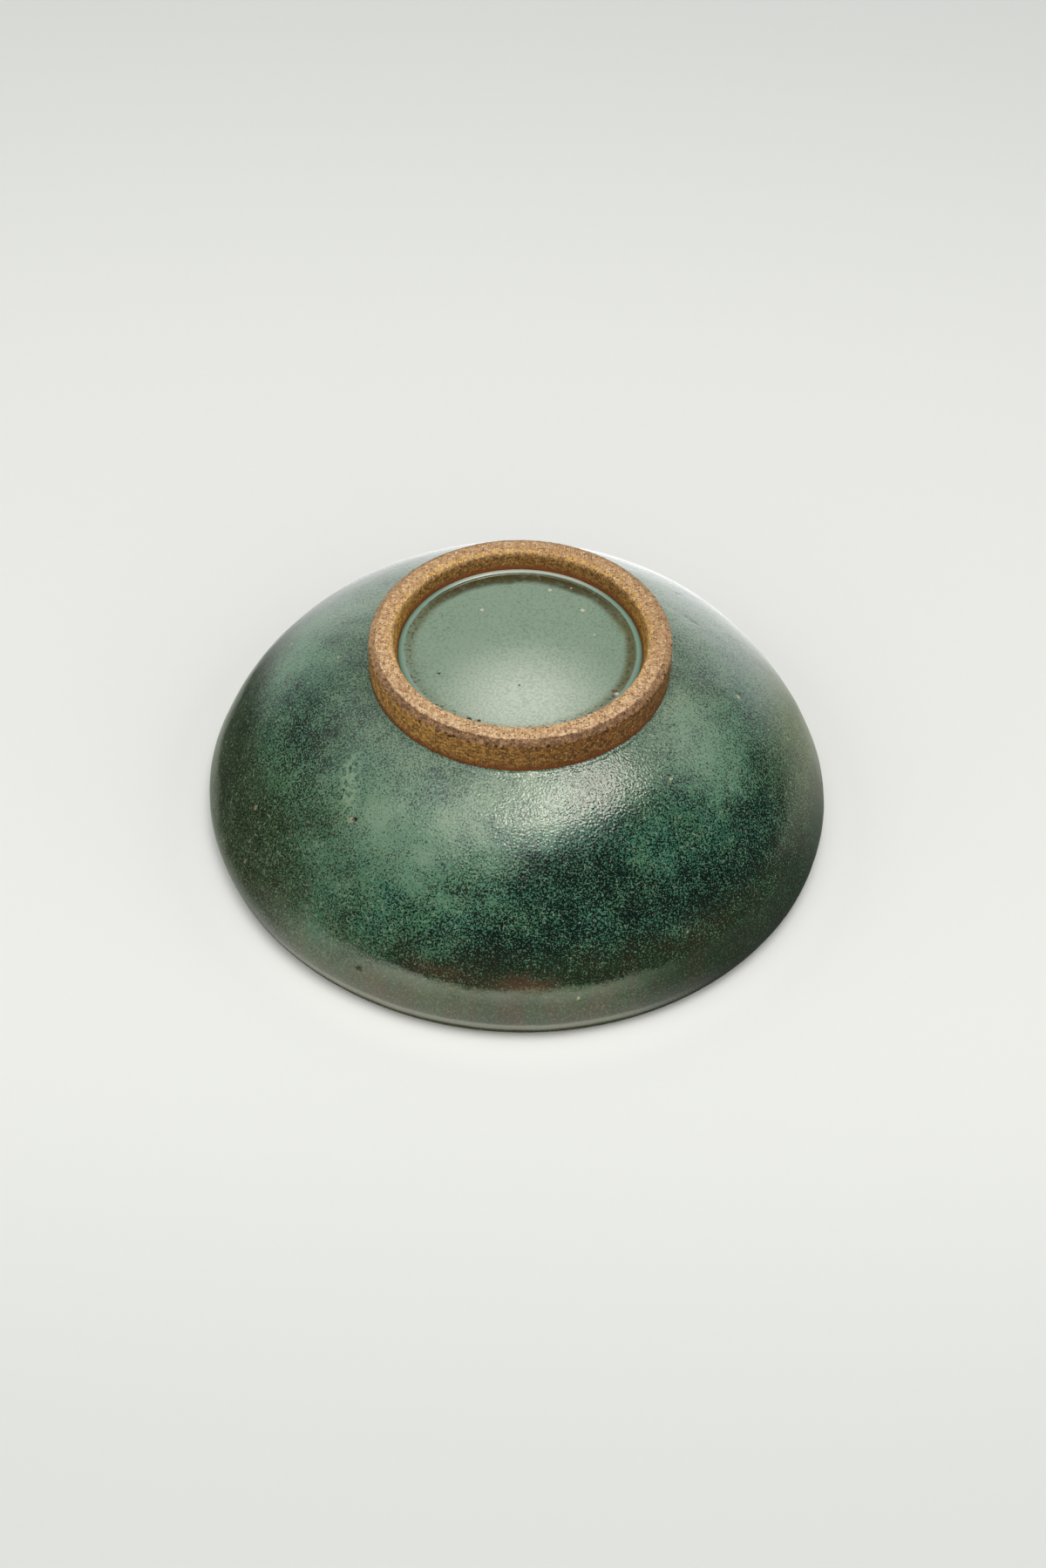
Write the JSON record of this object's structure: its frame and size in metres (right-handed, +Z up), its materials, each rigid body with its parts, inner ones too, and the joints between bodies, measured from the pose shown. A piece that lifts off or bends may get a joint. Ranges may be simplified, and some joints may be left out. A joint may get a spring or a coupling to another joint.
{
  "type": "footed bowl",
  "caption": "Shallow thrown stoneware bowl with a green glaze inside and out and a bare clay foot ring, lying upside down on its lip.",
  "frame": {"origin": "middle of the circle on which the lip rests, on the table under the bowl, which lies upside down as pictured", "axes": "+Z up through the middle of the foot, +X to the right and -Y towards the picture's camera; turned half a turn about X the bowl stands on its foot for use"},
  "size_m": [0.16, 0.16, 0.0573],
  "materials": {
    "clay": "coarse unglazed stoneware, matte",
    "foot_clay": "coarse unglazed stoneware with light and dark grains, matte",
    "slip": "fired slip, matte",
    "green_glaze": "dark green glaze with fine lighter flecks, glossy",
    "lip_glaze": "green glaze worn thin over the lip, glossy",
    "inner_glaze": "dark green glaze, glossy",
    "well_glaze": "milky pale green glaze, glossy"
  },
  "bodies": {
    "root": {"clay_body": "clay", "foot_ring": "foot_clay", "foot_slip": "slip", "outer_glaze": "green_glaze", "lip_glaze": "lip_glaze", "inner_glaze": "inner_glaze", "foot_well_glaze": "well_glaze"}
  },
  "joints": []
}
